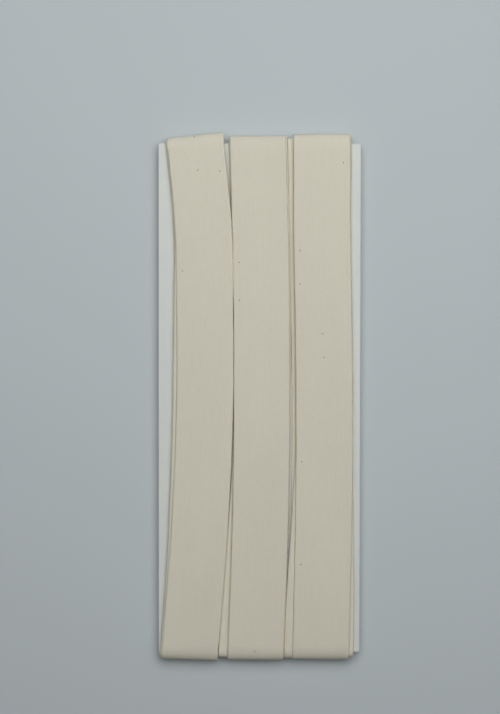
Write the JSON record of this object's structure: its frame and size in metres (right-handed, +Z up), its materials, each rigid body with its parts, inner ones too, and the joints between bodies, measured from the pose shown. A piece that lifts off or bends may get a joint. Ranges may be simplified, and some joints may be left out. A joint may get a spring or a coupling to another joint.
{
  "type": "roll of twill tape on a winding card",
  "caption": "Cream cotton twill tape wound flat in side-by-side lanes round a plain white winding card.",
  "frame": {"origin": "under the middle of the whole, on the surface that it lies on", "axes": "+X to the right across the lanes, +Y up along them, +Z up out of the front face"},
  "size_m": [0.0466, 0.1224, 0.0043],
  "materials": {
    "cotton": "matte",
    "card": "matte"
  },
  "bodies": {
    "root": {"tape": "cotton", "winding_card": "card"}
  },
  "joints": []
}
